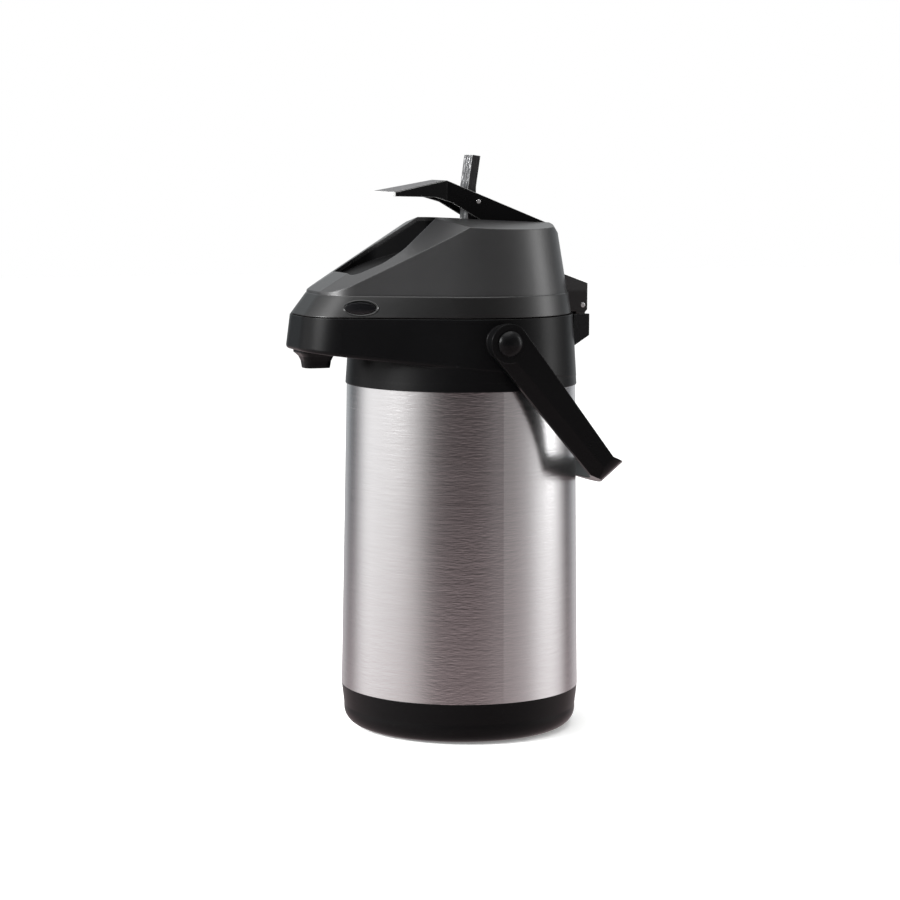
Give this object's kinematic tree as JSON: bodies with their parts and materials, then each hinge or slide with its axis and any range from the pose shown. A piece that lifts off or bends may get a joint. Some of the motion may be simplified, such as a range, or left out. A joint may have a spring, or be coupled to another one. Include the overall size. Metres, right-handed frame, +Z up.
{
  "type": "lever airpot",
  "caption": "Insulated steel jug with a hinged pump lid, front spout, press lever, side release buttons and a swinging bail handle.",
  "frame": {"origin": "centre of the underside that the airpot stands on, on the body's axis", "axes": "+Z up, the spout points to -Y, the lid's hinge is at +Y, the handle's pivots lie along X"},
  "size_m": [0.1914, 0.2276, 0.3972],
  "materials": {
    "brushed_steel": "circumferential brushed grain",
    "vessel_steel": "satin drawn steel",
    "pin_steel": "polished pins and screws",
    "graphite_plastic": "satin graphite moulding",
    "black_plastic": "satin black moulding",
    "gloss_black": "glossy black",
    "inner_plastic": "matte dark grey",
    "white_plastic": "food-safe natural white",
    "rod_plastic": "matte black with worn face",
    "grip_texture": "fine grained pad",
    "rubber": "matte rubber",
    "silicone": "translucent grey silicone"
  },
  "bodies": {
    "body": {"base_cup": "black_plastic", "base_pad": "rubber", "base_screws": "pin_steel", "liner_support": "inner_plastic", "outer_shell": "brushed_steel", "inner_liner": "vessel_steel", "shoulder_collar": "black_plastic", "neck_gasket": "silicone", "stem_flange": "white_plastic", "stem_tube": "white_plastic", "outlet_pipe": "white_plastic", "outlet_seal": "silicone", "spout_nozzle": "black_plastic", "hinge_bracket": "gloss_black", "bracket_screws": "pin_steel", "hinge_pin": "pin_steel", "handle_knob_left": "black_plastic", "handle_knob_right": "black_plastic"},
    "lid": {"lid_cover": "graphite_plastic", "lid_base": "inner_plastic", "lever_well": "black_plastic", "lid_gasket": "silicone", "lid_screws": "pin_steel", "air_valve": "silicone", "lever_pin": "pin_steel", "bellows": "silicone", "pump_spring": "pin_steel", "button_spring_left": "pin_steel", "button_spring_right": "pin_steel"},
    "lever": {"lever": "black_plastic", "lever_grip": "grip_texture", "cross_pin": "pin_steel"},
    "pump_rod": {"pump_rod": "rod_plastic", "rod_pin": "pin_steel"},
    "pressure_plate": {"pressure_plate": "inner_plastic"},
    "release_button_left": {"release_button_left": "gloss_black"},
    "release_button_right": {"release_button_right": "gloss_black"},
    "carry_handle": {"carry_handle": "black_plastic"}
  },
  "joints": [
    {"name": "lid_hinge", "type": "hinge", "parent": "body", "child": "lid", "pos_m": [0, 0.0832, 0.2933], "axis": [-1, 0, 0], "range_deg": [0, 95]},
    {"name": "lever_hinge", "type": "hinge", "parent": "lid", "child": "lever", "pos_m": [0, 0.049, 0.343], "axis": [1, 0, 0], "range_deg": [0, 21], "stiffness_Nm_per_rad": 1.6, "springref_deg": -8.59},
    {"name": "rod_pivot", "type": "hinge", "parent": "lever", "child": "pump_rod", "pos_m": [0, 0.0073, 0.3653], "axis": [1, 0, 0], "range_deg": [-16, 0]},
    {"name": "plate_slide", "type": "slide", "parent": "lid", "child": "pressure_plate", "axis": [0, 0, -1], "range_m": [0, 0.0175], "deforming": ["bellows", "pump_spring"]},
    {"name": "button_left_press", "type": "slide", "parent": "lid", "child": "release_button_left", "axis": [0.9093, 0.4161, 0], "range_m": [0, 0.0025], "stiffness_N_per_m": 400, "springref_m": -0.002},
    {"name": "button_right_press", "type": "slide", "parent": "lid", "child": "release_button_right", "axis": [-0.9093, 0.4161, 0], "range_m": [0, 0.0025], "stiffness_N_per_m": 400, "springref_m": -0.002},
    {"name": "handle_swing", "type": "hinge", "parent": "body", "child": "carry_handle", "pos_m": [0, 0, 0.2731], "axis": [1, 0, 0], "range_deg": [0, 270]}
  ],
  "couplings": [
    {"joint": "rod_pivot", "follows": "lever_hinge", "ratio": -0.714},
    {"joint": "plate_slide", "follows": "lever_hinge", "m_per_rad": 0.0445}
  ]
}
